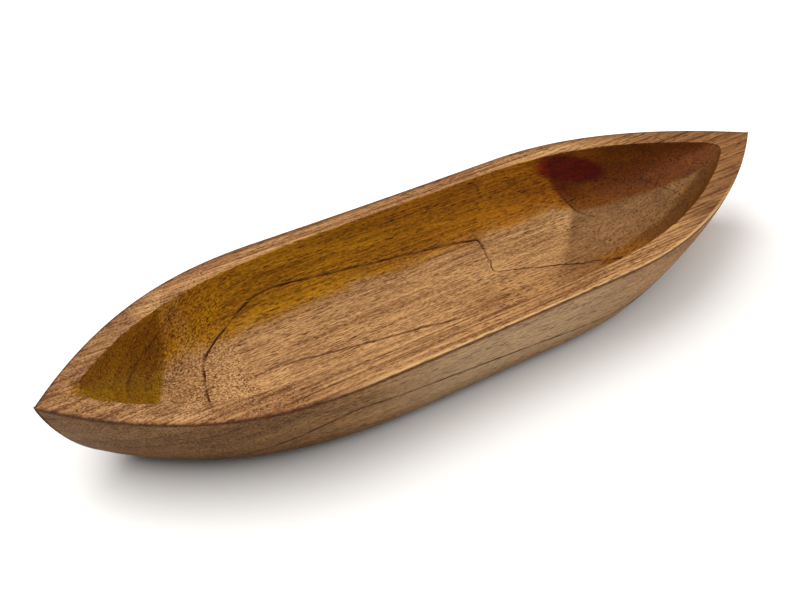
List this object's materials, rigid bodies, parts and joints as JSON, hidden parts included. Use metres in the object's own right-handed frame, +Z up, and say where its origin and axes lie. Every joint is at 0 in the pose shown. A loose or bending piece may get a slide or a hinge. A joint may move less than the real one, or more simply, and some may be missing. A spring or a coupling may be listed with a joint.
{
  "type": "incense dish",
  "caption": "Long boat-shaped wooden dish, dug out of one block, with a flat base and pointed ends, that catches ash and holds incense cones or smouldering herbs.",
  "frame": {"origin": "middle of the flat base that the dish stands on", "axes": "+X along the length towards the slimmer end, +Y towards the side whose rim is thin all along, +Z up"},
  "size_m": [0.3, 0.0844, 0.033],
  "materials": {
    "oiled_teak": "hand carved and sanded teak with a satin oil finish"
  },
  "bodies": {
    "root": {"dish": "oiled_teak"}
  },
  "joints": []
}
